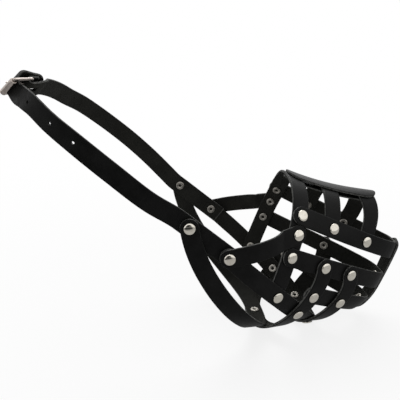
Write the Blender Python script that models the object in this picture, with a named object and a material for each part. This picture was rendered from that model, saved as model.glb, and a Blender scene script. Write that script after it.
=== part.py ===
# Leather strap basket muzzle for a large dog: riveted straps round a snout-shaped
# form, a neck strap with a roller buckle, and a throat strap. +X is forward (nose),
# +Y is the dog's left, +Z is up. The origin is on the flat of the lowest rivet cap.

import math

import bmesh
import bpy
import numpy as np
from mathutils import Matrix, Vector

MM = 0.001

# Leather
STRAP_WIDTH = 16.0 * MM
NECK_WIDTH = 17.0 * MM
LEATHER = 2.4 * MM
NOSE_LEATHER = 1.6 * MM
NOSE_WIDTH = 24.0 * MM
SEAT = 0.5 * MM
PITCH = LEATHER + SEAT
END_REACH = 8.0 * MM

# Snout form that the straps lie on, measured from the form's own centre
HALF_WIDTH = 55.3 * MM
RISE_ABOVE = 71.8 * MM
TOP_DROP = 23.6 * MM
DROP_BELOW = 64.3 * MM
NOSE_LENGTH = 108.0 * MM
NARROWING = 0.7324
SIDE_TAPER = NARROWING * HALF_WIDTH / NOSE_LENGTH
FRONT_SLOPE = 0.40
MOUTH_FLARE = 13.0 * MM
FLARE_LENGTH = 46.0 * MM
ROUND_ABOVE = 2.35
ROUND_BELOW = 2.75
ROUND_AT_PIVOT = 12.0
SQUARING_STARTS = 0.3
NOSE_ROUND_SIDE = 4.5
NOSE_ROUND_TOP = 10.0
NOSE_ROUND_BELOW = 7.0
FORM_REACH = 2.0 * NOSE_LENGTH

# Side-view lines of the straps. A steep strap runs x = at + z tan(lean) less a bend, which is
# reached at BEND_HEIGHT and grows as the square, counted only above the height from where one is
# given. A flat strap runs z = at + x tan(rise).
# Each path is swept about a hub inside the form: a height on a steep line, an x on a flat one.
BEND_HEIGHT = DROP_BELOW
ARCH_REAR = {"at": -9.5 * MM, "lean": 19.1, "bend": 19.4 * MM, "from": 35.0 * MM, "hub": 0.0}
ARCH_MIDDLE = {"at": 30.3 * MM, "lean": 11.8, "bend": 0.0, "hub": 0.0}
ARCH_FRONT = {"at": 61.6 * MM, "lean": 43.2, "bend": 49.6 * MM, "hub": 0.0}
UNDER_REAR = {"at": 26.9 * MM, "lean": 1.35, "bend": 48.4 * MM, "hub": -10.0 * MM}
UNDER_FRONT = {"at": 47.2 * MM, "lean": -37.5, "bend": 78.4 * MM, "hub": -15.0 * MM}
UPPER_SIDE = {"at": 45.7 * MM, "rise": -24.9, "hub": 30.0 * MM}
LOWER_SIDE = {"at": 8.9 * MM, "rise": -23.8, "hub": 30.0 * MM}
BOTTOM_SIDE = {"at": -21.3 * MM, "rise": -23.0, "hub": 25.0 * MM}
SLING = {"at": -39.1 * MM, "rise": -43.7, "hub": -20.0 * MM}
CHEEK_HUB = -30.0 * MM
CHEEK_END_HEIGHT = 29.2 * MM
THROAT_HUB = 0.0
THROAT_BEND = -18.6 * MM
NOSE_REACH = 12.0 * MM

# Sweeps about the hubs, in degrees
OVER_THE_TOP = (-150.0, 150.0)
UNDER_THE_CHIN = (30.0, 330.0)
ROUND_THE_NOSE = (-150.0, 150.0)
ALONG_THE_CHEEK = (160.0, 20.0)
UNDER_THE_THROAT = (20.0, 340.0)
DOWN_THE_FRONT = (60.0, -120.0)
ALONG_THE_NOSE = (150.0, 5.0)
FRONT_HUB = (60.0 * MM, -20.0 * MM)
NOSE_HUB = (30.0 * MM, 0.0)

# Neck strap
PIVOT_X = -59.8 * MM
NECK_RISE = 39.1
THROAT_STATION = 42.3 * MM
NECK_END = 11.0 * MM
NECK_STRAIGHT = 56.0 * MM

# The neck loop's lie: back from the pivot, bulge outwards from its straight ends, and up from
# the neck plane. The buckle end is held a little out of that plane.
BILLET_LIE = [
    (80.0 * MM, 2.5 * MM, -2.2 * MM),
    (120.0 * MM, 5.5 * MM, -1.0 * MM),
    (156.0 * MM, 3.5 * MM, 0.0),
    (180.0 * MM, -1.0 * MM, 0.5 * MM),
    (200.0 * MM, -10.5 * MM, 1.5 * MM),
]
BUCKLE_LIE = [
    (196.0 * MM, -51.5 * MM, 8.6 * MM),
    (190.7 * MM, -33.5 * MM, 7.1 * MM),
    (184.0 * MM, -19.5 * MM, 6.0 * MM),
    (166.0 * MM, 8.5 * MM, 5.0 * MM),
    (140.0 * MM, 19.5 * MM, 4.0 * MM),
    (112.0 * MM, 18.5 * MM, 4.2 * MM),
    (82.0 * MM, 9.5 * MM, 3.2 * MM),
]
HOLE_FIRST = 156.4 * MM
HOLE_SPACING = 22.4 * MM
HOLE_COUNT = 3
HOLE_RADIUS = 1.6 * MM

# Roller buckle
ROLLER_LIE = (221.7 * MM, -25.0 * MM, -1.2 * MM)
BUCKLE_RUN = (-0.51, 0.78, 0.37)
BUCKLE_ACROSS = (-0.14, -0.50, 0.85)
BUCKLE_LENGTH = 18.0 * MM
WIRE = 1.1 * MM
CORNER = 1.3 * MM
SIDE_PLAY = 0.4 * MM
ROLLER_RADIUS = 2.7 * MM
ROLLER_BORE = 1.35 * MM
ROLLER_GAP = 0.8 * MM
ROLLER_SIDES = 14
PRONG = 0.9 * MM
PRONG_PLAY = 0.3 * MM
PRONG_KNEE = 0.45
PRONG_SLOT = (16.0 * MM, 14.0 * MM, 5.0 * MM)
PRONG_HOLE = (11.0 * MM, 9.0 * MM, 4.0 * MM)
PRONG_HOLE_AT = (11.8 * MM, 3.2 * MM)
FOLD_BACK = 12.0 * MM
STRAIGHT_RUN = 20.0 * MM

# The billet's stiff arch inside the buckle and its tail: from the bar towards the roller, and out
BILLET_ARCH = [
    (11.8 * MM, 4.4 * MM),
    (8.6 * MM, 8.0 * MM),
    (4.0 * MM, 9.5 * MM),
    (-1.5 * MM, 8.6 * MM),
    (-8.0 * MM, 6.9 * MM),
    (-14.0 * MM, 5.4 * MM),
    (-21.0 * MM, 3.4 * MM),
]

# Rivets
CAP_RADIUS = 4.9 * MM
CAP_HEIGHT = 1.8 * MM
CAP_FLAT = 2.2 * MM
CAP_EDGE = 0.5 * MM
SHANK_RADIUS = 1.7 * MM
HOLE_CLEARANCE = 0.25 * MM
RING_RADIUS = 3.7 * MM
RING_HEIGHT = 0.9 * MM
TUBE_RADIUS = 1.05 * MM
TUBE_LIP = 0.6
CAP_SEAT = 0.2 * MM
RING_SEAT = 0.7 * MM
RIVET_SIDES = 8

# Mesh density
RING_STEP = 6.5 * MM
FINE_STEP = 3.4 * MM
NECK_STEP = 9.0 * MM
BILLET_STEP = 6.0 * MM
ARCH_STEP = 3.6 * MM
COLUMN_COUNT = 3
NOSE_COLUMN_COUNT = 6
END_ANGLES = (0.0, 30.0, 55.0, 75.0, 90.0)
TIP_SHARE = 0.12
DENSE = 900
SHARP_EDGE = 38.0

for old in list(bpy.data.objects):
    bpy.data.objects.remove(old)


def steep_x(line, z):
    past = np.maximum(z - line["from"], 0.0) if "from" in line else z
    return line["at"] + z * math.tan(math.radians(line["lean"])) - line["bend"] * (past / BEND_HEIGHT) ** 2


def flat_z(line, x):
    return line["at"] + x * math.tan(math.radians(line["rise"]))


def crossing(steep, flat):
    # where a steep and a flat strap cross in side view
    z = flat["at"]
    for _ in range(200):
        z = 0.5 * z + 0.5 * flat_z(flat, steep_x(steep, z))
    return steep_x(steep, z), z


def form_value(p):
    # zero on the form, negative inside it
    x, y, z = p[..., 0], p[..., 1], p[..., 2]
    back = np.clip(-x / FLARE_LENGTH, 0.0, 1.0)
    ease = back * back * (3.0 - 2.0 * back)
    slope = SIDE_TAPER * FLARE_LENGTH
    flared = slope * (back ** 3 - 2.0 * back ** 2 + back) + MOUTH_FLARE * ease
    width = HALF_WIDTH - SIDE_TAPER * np.maximum(x, 0.0) + flared
    above = z > 0.0
    late = np.clip((back - SQUARING_STARTS) / (1.0 - SQUARING_STARTS), 0.0, 1.0)
    square = late * late * (3.0 - 2.0 * late)
    power = np.where(above, ROUND_ABOVE + (ROUND_AT_PIVOT - ROUND_ABOVE) * square, ROUND_BELOW)
    ahead = np.clip(x / NOSE_LENGTH, 0.0, 1.0)
    height = np.where(above, RISE_ABOVE - TOP_DROP * (2.0 - ahead) * ahead, DROP_BELOW)
    long = NOSE_LENGTH + FRONT_SLOPE * np.minimum(z, 0.0)
    side = (np.abs(y) / width) ** power
    tall = (np.abs(z) / height) ** power
    share = tall / (side + tall + 1e-12)
    end = np.where(above, NOSE_ROUND_TOP, NOSE_ROUND_BELOW)
    close = NOSE_ROUND_SIDE + (end - NOSE_ROUND_SIDE) * share
    reach = (side + tall + 1e-12) ** (1.0 / power)
    return reach ** close + (np.maximum(x, 0.0) / long) ** close - 1.0


def form_normal(p):
    step = 0.2 * MM
    grad = np.stack([form_value(p + step * a) - form_value(p - step * a) for a in np.eye(3)], axis=-1)
    return grad / np.linalg.norm(grad, axis=-1, keepdims=True)


def unit(v):
    return v / np.linalg.norm(v, axis=-1, keepdims=True)


def on_form(place):
    # place(r) gives points at radius r from a hub inside the form; returns those on the form
    low = np.zeros(DENSE)
    high = np.full(DENSE, FORM_REACH)
    for _ in range(60):
        middle = 0.5 * (low + high)
        outside = form_value(place(middle)) > 0.0
        high = np.where(outside, middle, high)
        low = np.where(outside, low, middle)
    return place(low)


def steep_path(line, sweep):
    # angles from straight up, towards +Y
    a = np.radians(np.linspace(*sweep, DENSE))

    def place(r):
        z = line["hub"] + r * np.cos(a)
        return np.stack([steep_x(line, z), r * np.sin(a), z], axis=-1)
    return on_form(place)


def flat_path(line, sweep, side=1.0):
    # angles from straight ahead, towards +Y or, with side -1, towards -Y
    a = np.radians(np.linspace(*sweep, DENSE)) * side

    def place(r):
        x = line["hub"] + r * np.cos(a)
        return np.stack([x, r * np.sin(a), flat_z(line, x)], axis=-1)
    return on_form(place)


def centre_path(hub, sweep):
    # the form's outline in the centre plane, angles from straight ahead, upwards
    a = np.radians(np.linspace(*sweep, DENSE))

    def place(r):
        return np.stack([hub[0] + r * np.cos(a), 0.0 * a, hub[1] + r * np.sin(a)], axis=-1)
    return on_form(place)


def lengths(path):
    steps = np.linalg.norm(np.diff(path, axis=0), axis=1)
    return np.concatenate([[0.0], np.cumsum(steps)])


def station(path, axis, value, side):
    # length along the path where a coordinate takes a value, on the -Y or +Y side
    s = lengths(path)
    for i in range(len(path) - 1):
        a, b = path[i, axis] - value, path[i + 1, axis] - value
        if a * b <= 0.0 and a != b and path[i, 1] * side >= 0.0:
            return s[i] + (s[i + 1] - s[i]) * a / (a - b)
    raise ValueError("the strap does not reach that station")


def sample(path, s):
    at = lengths(path)
    return np.stack([np.interp(s, at, path[:, i]) for i in range(3)], axis=-1)


def rounded(s, start, stop, half, round_start, round_stop):
    # half-width of a strap along its length, with half-round ends
    width = np.full(len(s), half)
    floor = TIP_SHARE * half
    if round_start:
        inset = np.clip((start + half - s) / half, 0.0, 1.0)
        width = np.minimum(width, half * np.sqrt(1.0 - inset ** 2))
    if round_stop:
        inset = np.clip((s - stop + half) / half, 0.0, 1.0)
        width = np.minimum(width, half * np.sqrt(1.0 - inset ** 2))
    return np.maximum(width, floor)


def stations_along(start, stop, step, half):
    # ring positions: closer together on the round ends
    bow = half * (1.0 - np.cos(np.radians(END_ANGLES)))
    head = start + bow
    tail = (stop - bow)[::-1]
    count = max(2, int(round((tail[0] - head[-1]) / step)))
    middle = np.linspace(head[-1], tail[0], count + 1)[1:-1]
    return np.concatenate([head, middle, tail])


MATERIALS = {}


def material(name, colour, roughness, metallic):
    if name not in MATERIALS:
        m = bpy.data.materials.new(name)
        m.use_nodes = True
        shader = m.node_tree.nodes["Principled BSDF"]
        shader.inputs["Base Color"].default_value = (*colour, 1.0)
        shader.inputs["Roughness"].default_value = roughness
        shader.inputs["Metallic"].default_value = metallic
        MATERIALS[name] = m
    return MATERIALS[name]


def leather():
    return material("black_leather", (0.012, 0.012, 0.013), 0.5, 0.0)


def nickel():
    return material("nickel", (0.72, 0.70, 0.66), 0.25, 1.0)


def add_object(name, mesh, finish):
    mesh.materials.append(finish)
    obj = bpy.data.objects.new(name, mesh)
    bpy.context.scene.collection.objects.link(obj)
    mesh.shade_smooth()
    mesh.set_sharp_from_angle(angle=math.radians(SHARP_EDGE))
    return obj


def skin(name, outer, inner, finish):
    # closed body between two point grids of the same shape
    rings, across = outer.shape[0], outer.shape[1]
    bm = bmesh.new()
    top = [[bm.verts.new(v) for v in row] for row in outer]
    low = [[bm.verts.new(v) for v in row] for row in inner]
    for i in range(rings - 1):
        for j in range(across - 1):
            bm.faces.new((top[i][j], top[i + 1][j], top[i + 1][j + 1], top[i][j + 1]))
            bm.faces.new((low[i][j], low[i][j + 1], low[i + 1][j + 1], low[i + 1][j]))
        bm.faces.new((top[i][0], low[i][0], low[i + 1][0], top[i + 1][0]))
        bm.faces.new((top[i][-1], top[i + 1][-1], low[i + 1][-1], low[i][-1]))
    for j in range(across - 1):
        bm.faces.new((top[0][j], top[0][j + 1], low[0][j + 1], low[0][j]))
        bm.faces.new((top[-1][j], low[-1][j], low[-1][j + 1], top[-1][j + 1]))
    bmesh.ops.recalc_face_normals(bm, faces=bm.faces)
    mesh = bpy.data.meshes.new(name)
    bm.to_mesh(mesh)
    bm.free()
    return add_object(name, mesh, finish)


# The form's centre in the part's frame, from the lowest rivet cap
REST_X = steep_x(UNDER_REAR, -DROP_BELOW)
FORM_CENTRE = np.array([-REST_X, 0.0, DROP_BELOW + 3.0 * PITCH - SEAT + CAP_SEAT + CAP_HEIGHT])


def form_strap(name, path, start, stop, layer, width=STRAP_WIDTH, thick=LEATHER,
               end_layer=None, across=COLUMN_COUNT, step=RING_STEP):
    # a round-ended strap lying on the form; layer counts straps outwards from the form
    half = width / 2.0
    s = stations_along(start, stop, step, half)
    spread = rounded(s, start, stop, half, True, True)
    centre = sample(path, s)
    normal = form_normal(centre)
    nudge = 0.5 * MM
    run = unit(sample(path, s + nudge) - sample(path, s - nudge))
    side = unit(np.cross(normal, run))
    last = layer if end_layer is None else end_layer
    blend = np.clip((s - start - 2.0 * half) / (stop - start - 4.0 * half), 0.0, 1.0)
    base = (layer + (last - layer) * blend * blend * (3.0 - 2.0 * blend)) * PITCH
    outer, inner = [], []
    for j in range(across + 1):
        p = centre + side * (spread * (2.0 * j / across - 1.0))[:, None]
        for _ in range(8):
            n = form_normal(p)
            tiny = 0.1 * MM
            rate = (form_value(p + tiny * n) - form_value(p - tiny * n)) / (2.0 * tiny)
            p = p - n * (form_value(p) / rate)[:, None]
        n = form_normal(p)
        inner.append(p + n * base[:, None])
        outer.append(p + n * (base + thick)[:, None])
    outer = np.stack(outer, axis=1) + FORM_CENTRE
    inner = np.stack(inner, axis=1) + FORM_CENTRE
    return skin(name, outer, inner, leather())


def ribbon(name, points, across, half, thick, finish):
    # a strap along a free path; across gives the direction of its width
    run = np.gradient(points, axis=0)
    run = unit(run)
    wide = unit(across - run * np.sum(across * run, axis=1, keepdims=True))
    out = np.cross(run, wide)
    outer = np.stack([points + out * thick / 2.0 + wide * (half * k)[:, None] for k in (-1.0, 1.0)], axis=1)
    inner = np.stack([points - out * thick / 2.0 + wide * (half * k)[:, None] for k in (-1.0, 1.0)], axis=1)
    return skin(name, outer, inner, finish)


def turned(name, profile, sides, finish):
    # a body of revolution about local Z from (radius, height) points, first and last on the axis
    bm = bmesh.new()
    angles = [2.0 * math.pi * k / sides for k in range(sides)]
    rows = []
    for radius, height in profile:
        if radius == 0.0:
            rows.append([bm.verts.new((0.0, 0.0, height))])
        else:
            rows.append([bm.verts.new((radius * math.cos(a), radius * math.sin(a), height)) for a in angles])
    for upper, lower in zip(rows, rows[1:]):
        for k in range(sides):
            n = (k + 1) % sides
            if len(upper) == 1:
                bm.faces.new((upper[0], lower[k], lower[n]))
            elif len(lower) == 1:
                bm.faces.new((upper[k], lower[0], upper[n]))
            else:
                bm.faces.new((upper[k], lower[k], lower[n], upper[n]))
    bmesh.ops.recalc_face_normals(bm, faces=bm.faces)
    mesh = bpy.data.meshes.new(name)
    bm.to_mesh(mesh)
    bm.free()
    return add_object(name, mesh, finish)


def turn_to(axis):
    return Vector(axis).to_track_quat("Z", "Y").to_matrix().to_4x4()


def cutter(name, matrix, radius, length, sides):
    bm = bmesh.new()
    bmesh.ops.create_cone(bm, cap_ends=True, segments=sides, radius1=radius, radius2=radius, depth=length)
    mesh = bpy.data.meshes.new(name)
    bm.to_mesh(mesh)
    bm.free()
    obj = bpy.data.objects.new(name, mesh)
    bpy.context.scene.collection.objects.link(obj)
    obj.matrix_world = matrix
    obj.hide_render = True
    obj.display_type = "WIRE"
    return obj


def cut(target, tool):
    m = target.modifiers.new("hole_" + tool.name, "BOOLEAN")
    m.operation = "DIFFERENCE"
    m.solver = "EXACT"
    m.object = tool


def rivet(name, seat, outward, first, count, straps):
    # seat is the point on the form; the rivet holds count layers from layer first
    outward = Vector(outward).normalized()
    under = first * PITCH - RING_SEAT
    over = (first + count) * PITCH - SEAT + CAP_SEAT
    place = Matrix.Translation(Vector(seat)) @ turn_to(outward)
    profile = [
        (0.0, over + CAP_HEIGHT),
        (CAP_FLAT, over + CAP_HEIGHT),
        (CAP_RADIUS, over + CAP_EDGE),
        (CAP_RADIUS, over),
        (SHANK_RADIUS, over),
        (SHANK_RADIUS, under),
        (RING_RADIUS, under),
        (0.5 * (RING_RADIUS + TUBE_RADIUS), under - RING_HEIGHT),
        (TUBE_RADIUS, under - TUBE_LIP * RING_HEIGHT),
        (TUBE_RADIUS, under + PITCH),
        (0.0, under + PITCH),
    ]
    body = turned(name, profile, RIVET_SIDES, nickel())
    body.matrix_world = place
    middle = Matrix.Translation(outward * (first + count / 2.0) * PITCH)
    tool = cutter("hole_for_" + name, middle @ place, SHANK_RADIUS + HOLE_CLEARANCE, (count + 2.0) * PITCH, 8)
    for strap in straps:
        cut(strap, tool)
    return body


def form_rivet(name, path, s, first, count, straps):
    p = sample(path, np.array([s]))
    return rivet(name, (p + FORM_CENTRE)[0], form_normal(p)[0], first, count, straps)


# Strap paths on the form
arch_paths = {
    "rear": steep_path(ARCH_REAR, OVER_THE_TOP),
    "middle": steep_path(ARCH_MIDDLE, OVER_THE_TOP),
    "front": steep_path(ARCH_FRONT, OVER_THE_TOP),
}
under_rear_path = steep_path(UNDER_REAR, UNDER_THE_CHIN)
under_front_path = steep_path(UNDER_FRONT, UNDER_THE_CHIN)
upper_path = flat_path(UPPER_SIDE, ROUND_THE_NOSE)
lower_path = flat_path(LOWER_SIDE, ROUND_THE_NOSE)
bottom_path = flat_path(BOTTOM_SIDE, ROUND_THE_NOSE)
sling_path = flat_path(SLING, ROUND_THE_NOSE)
PIVOT_Z = flat_z(SLING, PIVOT_X)
cheek_end_x = steep_x(ARCH_REAR, CHEEK_END_HEIGHT)
CHEEK = {
    "rise": math.degrees(math.atan2(CHEEK_END_HEIGHT - PIVOT_Z, cheek_end_x - PIVOT_X)),
    "at": PIVOT_Z - PIVOT_X * (CHEEK_END_HEIGHT - PIVOT_Z) / (cheek_end_x - PIVOT_X),
    "hub": CHEEK_HUB,
}
SIDES = {"right": -1.0, "left": 1.0}
cheek_paths = {hand: flat_path(CHEEK, ALONG_THE_CHEEK, side) for hand, side in SIDES.items()}
THROAT_X = PIVOT_X - THROAT_STATION * math.cos(math.radians(NECK_RISE))
THROAT_Z = PIVOT_Z + THROAT_STATION * math.sin(math.radians(NECK_RISE))
throat_fall = (THROAT_X - REST_X) / (THROAT_Z + DROP_BELOW)
throat_slope = throat_fall + THROAT_BEND * (THROAT_Z - DROP_BELOW) / BEND_HEIGHT ** 2
THROAT = {
    "lean": math.degrees(math.atan(throat_slope)),
    "at": THROAT_X - THROAT_Z * throat_slope + THROAT_BEND * (THROAT_Z / BEND_HEIGHT) ** 2,
    "bend": THROAT_BEND,
    "hub": THROAT_HUB,
}
throat_path = steep_path(THROAT, UNDER_THE_THROAT)
front_path = centre_path(FRONT_HUB, DOWN_THE_FRONT)
nose_path = centre_path(NOSE_HUB, ALONG_THE_NOSE)

X = "XYZ".index("X")
Z = "XYZ".index("Z")


def both(path, axis, value):
    # the two stations of a symmetric strap, in order along it
    return sorted((station(path, axis, value, -1.0), station(path, axis, value, 1.0)))


def between(name, path, ends, layer, **more):
    return form_strap(name, path, ends[0] - END_REACH, ends[1] + END_REACH, layer, **more)


cross = {
    "upper_rear": crossing(ARCH_REAR, UPPER_SIDE),
    "upper_middle": crossing(ARCH_MIDDLE, UPPER_SIDE),
    "upper_front": crossing(ARCH_FRONT, UPPER_SIDE),
    "lower_rear": crossing(ARCH_REAR, LOWER_SIDE),
    "lower_middle": crossing(UNDER_REAR, LOWER_SIDE),
    "lower_front": crossing(UNDER_FRONT, LOWER_SIDE),
    "sling_rear": crossing(ARCH_REAR, SLING),
    "bottom_rear": crossing(UNDER_REAR, BOTTOM_SIDE),
    "bottom_front": crossing(UNDER_FRONT, BOTTOM_SIDE),
    "sling_middle": crossing(UNDER_REAR, SLING),
    "sling_front": crossing(UNDER_FRONT, SLING),
}

# Straps of the basket, from the form outwards
straps = {}
straps["arch_rear"] = between(
    "arch_rear", arch_paths["rear"], both(arch_paths["rear"], Z, cross["sling_rear"][1]), 0)
straps["arch_middle"] = between(
    "arch_middle", arch_paths["middle"], both(arch_paths["middle"], Z, cross["upper_middle"][1]), 0)
straps["arch_front"] = between(
    "arch_front", arch_paths["front"], both(arch_paths["front"], Z, cross["upper_front"][1]), 0,
    step=FINE_STEP)
straps["upper"] = between("upper_side_strap", upper_path, both(upper_path, X, cross["upper_rear"][0]), 1)
straps["lower"] = between("lower_side_strap", lower_path, both(lower_path, X, cross["lower_rear"][0]), 1)
straps["bottom"] = between("bottom_side_strap", bottom_path, both(bottom_path, X, cross["bottom_rear"][0]), 1)
straps["sling"] = between("chin_sling", sling_path, both(sling_path, X, PIVOT_X), 1)
straps["throat"] = between("throat_strap", throat_path, both(throat_path, Z, THROAT_Z), 1)
straps["under_rear"] = between(
    "under_strap_rear", under_rear_path, both(under_rear_path, Z, cross["lower_middle"][1]), 2)
straps["under_front"] = between(
    "under_strap_front", under_front_path, both(under_front_path, Z, cross["lower_front"][1]), 2)
for hand, side in SIDES.items():
    path = cheek_paths[hand]
    ends = (station(path, X, PIVOT_X, side), station(path, X, cheek_end_x, side))
    straps["cheek_" + hand] = between("cheek_strap_" + hand, path, ends, 2, end_layer=1)


def front_station(path):
    # where a side strap crosses the centre plane at the nose
    s = lengths(path)
    return s[np.argmax(path[:, X])]


def nearest(path, point):
    return lengths(path)[np.argmin(np.linalg.norm(path - point, axis=1))]


front_points = [sample(p, np.array([front_station(p)]))[0] for p in (upper_path, lower_path, bottom_path)]
front_marks = [nearest(front_path, p) for p in front_points]
straps["front"] = form_strap(
    "front_strap", front_path, front_marks[0] - END_REACH, front_marks[2] + END_REACH, 2)

arch_tops = [sample(p, np.array([lengths(p)[np.argmax(p[:, Z])]]))[0] for p in arch_paths.values()]
nose_marks = [nearest(nose_path, p) for p in arch_tops]
form_strap("nose_strip_cover", nose_path, nose_marks[0] - NOSE_REACH, nose_marks[2] + NOSE_REACH, 1,
           width=NOSE_WIDTH, thick=NOSE_LEATHER, across=NOSE_COLUMN_COUNT)
form_strap("nose_strip_lining", nose_path, nose_marks[0] - NOSE_REACH, nose_marks[2] + NOSE_REACH,
           -(NOSE_LEATHER + SEAT) / PITCH, width=NOSE_WIDTH, thick=NOSE_LEATHER, across=NOSE_COLUMN_COUNT)


# Neck loop
neck_angle = math.radians(NECK_RISE)
NECK_BACK = np.array([-math.cos(neck_angle), 0.0, math.sin(neck_angle)])
NECK_UP = np.array([math.sin(neck_angle), 0.0, math.cos(neck_angle)])
LEFT = np.array([0.0, 1.0, 0.0])
PIVOT = np.array([PIVOT_X, 0.0, PIVOT_Z]) + FORM_CENTRE
NECK_HALF = HALF_WIDTH + MOUTH_FLARE + LEATHER / 2.0


def neck_vector(v):
    return NECK_BACK * v[0] + LEFT * v[1] + NECK_UP * v[2]


def neck_point(lie, side):
    return PIVOT + neck_vector((lie[0], side * (NECK_HALF + lie[1]), lie[2]))


def smooth(points, step):
    # a curve through the points with tangents from their neighbours, read at even steps
    points = np.array(points, float)
    knots = lengths(points)
    tangents = np.gradient(points, knots, axis=0)
    dense = []
    for i in range(len(points) - 1):
        t = np.linspace(0.0, 1.0, 40, endpoint=i == len(points) - 2)[:, None]
        span = knots[i + 1] - knots[i]
        leave = (2 * t ** 3 - 3 * t ** 2 + 1) * points[i] + (t ** 3 - 2 * t ** 2 + t) * span * tangents[i]
        reach = (3 * t ** 2 - 2 * t ** 3) * points[i + 1] + (t ** 3 - t ** 2) * span * tangents[i + 1]
        dense.append(leave + reach)
    dense = np.concatenate(dense)
    total = lengths(dense)[-1]
    return sample(dense, np.linspace(0.0, total, max(2, int(round(total / step))) + 1))


def straight_lie(side):
    stops = [-NECK_END, -NECK_END / 2.0, 0.0, THROAT_STATION / 2.0, THROAT_STATION, NECK_STRAIGHT]
    return [PIVOT + NECK_BACK * s + LEFT * side * NECK_HALF for s in stops]


# Buckle axes: run goes from the roller to the bar and on along the strap
run = unit(neck_vector(BUCKLE_RUN))
over = neck_vector(BUCKLE_ACROSS)
over = unit(over - run * np.dot(over, run))
proud = np.cross(run, over)
proud = proud if np.dot(proud, NECK_BACK) > 0.0 else -proud
roller_at = neck_point(ROLLER_LIE, -1.0)
bar_at = roller_at + run * BUCKLE_LENGTH
LEAF = WIRE + SEAT + LEATHER / 2.0
PAST_ROLLER = ROLLER_RADIUS + ROLLER_GAP + LEATHER / 2.0


def in_buckle(along, out, across=0.0):
    # along runs from the bar to the roller, out is the outward side
    return bar_at - run * along + proud * out + over * across


def strap_half(points, half, round_end):
    # half-widths along a free strap with its last end rounded
    s = lengths(points)
    return rounded(s, 0.0, s[-1], half, False, round_end)


def neck_strap(name, points, acrosses, round_end):
    half = strap_half(points, NECK_WIDTH / 2.0, round_end)
    return ribbon(name, points, acrosses, half, LEATHER, leather())


def turn_across(points, first, last):
    # width direction going from one to the other near the buckle
    gap = np.linalg.norm(points - bar_at, axis=1)
    share = np.clip((gap - STRAIGHT_RUN) / (2.0 * STRAIGHT_RUN), 0.0, 1.0)[:, None]
    return unit(first * (1.0 - share) + last * share)


# Buckle half, from the fold's end outside, round the bar and along the dog's left to the pivot
fold = [in_buckle(-FOLD_BACK, LEAF), in_buckle(-FOLD_BACK / 2.0, LEAF)]
fold += [in_buckle(LEAF * math.sin(a), LEAF * math.cos(a)) for a in np.radians(np.linspace(0, 180, 9))]
leaf = [in_buckle(-s, -LEAF) for s in np.linspace(STRAIGHT_RUN / 4.0, STRAIGHT_RUN, 4)]
lie = [neck_point(p, 1.0) for p in BUCKLE_LIE]
rest = smooth(leaf[-2:] + lie + straight_lie(1.0)[::-1], NECK_STEP)
buckle_path = np.array(fold + leaf[:-2] + list(rest))
buckle_across = turn_across(buckle_path, over, NECK_UP)
buckle_half = neck_strap("neck_strap_buckle_half", buckle_path, buckle_across, False)

# Billet half, along the dog's right, in past the roller, in an arch over the bar and past the fold
inside = BUCKLE_LENGTH - PAST_ROLLER
entry = [in_buckle(inside, -PAST_ROLLER), in_buckle(inside, 0.0)]
arch = [in_buckle(along, out) for along, out in BILLET_ARCH]
approach = straight_lie(-1.0) + [neck_point(p, -1.0) for p in BILLET_LIE]
through = smooth(entry[-1:] + arch, ARCH_STEP)
before = smooth(approach + entry, BILLET_STEP)[:-1]
billet_path = np.concatenate([before, through])
billet = neck_strap("neck_strap_billet", billet_path, turn_across(billet_path, over, NECK_UP), True)
for k in range(HOLE_COUNT):
    at = np.argmin(np.abs((before - PIVOT) @ NECK_BACK - HOLE_FIRST - k * HOLE_SPACING))
    along = unit(billet_path[at + 1] - billet_path[at - 1])
    axis = np.cross(along, NECK_UP)
    place = Matrix.Translation(Vector(billet_path[at])) @ turn_to(axis)
    cut(billet, cutter("billet_hole_%d" % (k + 1), place, HOLE_RADIUS, 4.0 * LEATHER, 10))


def wire(name, points, radius, closed, finish):
    curve = bpy.data.curves.new(name, "CURVE")
    curve.dimensions = "3D"
    spline = curve.splines.new("POLY")
    spline.points.add(len(points) - 1)
    for knot, p in zip(spline.points, points):
        knot.co = (*p, 1.0)
    spline.use_cyclic_u = closed
    curve.bevel_depth = radius
    curve.bevel_resolution = 2
    curve.use_fill_caps = not closed
    curve.materials.append(finish)
    obj = bpy.data.objects.new(name, curve)
    bpy.context.scene.collection.objects.link(obj)
    return obj


def tube(name, inside, outside, length, sides, finish):
    bm = bmesh.new()
    rows = []
    for radius, height in ((outside, -0.5), (outside, 0.5), (inside, 0.5), (inside, -0.5)):
        rows.append([bm.verts.new((radius * math.cos(2.0 * math.pi * k / sides),
                                   radius * math.sin(2.0 * math.pi * k / sides), height * length))
                     for k in range(sides)])
    for r in range(4):
        for k in range(sides):
            n = (k + 1) % sides
            bm.faces.new((rows[r][k], rows[r][n], rows[(r + 1) % 4][n], rows[(r + 1) % 4][k]))
    bmesh.ops.recalc_face_normals(bm, faces=bm.faces)
    mesh = bpy.data.meshes.new(name)
    bm.to_mesh(mesh)
    bm.free()
    return add_object(name, mesh, finish)


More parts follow.
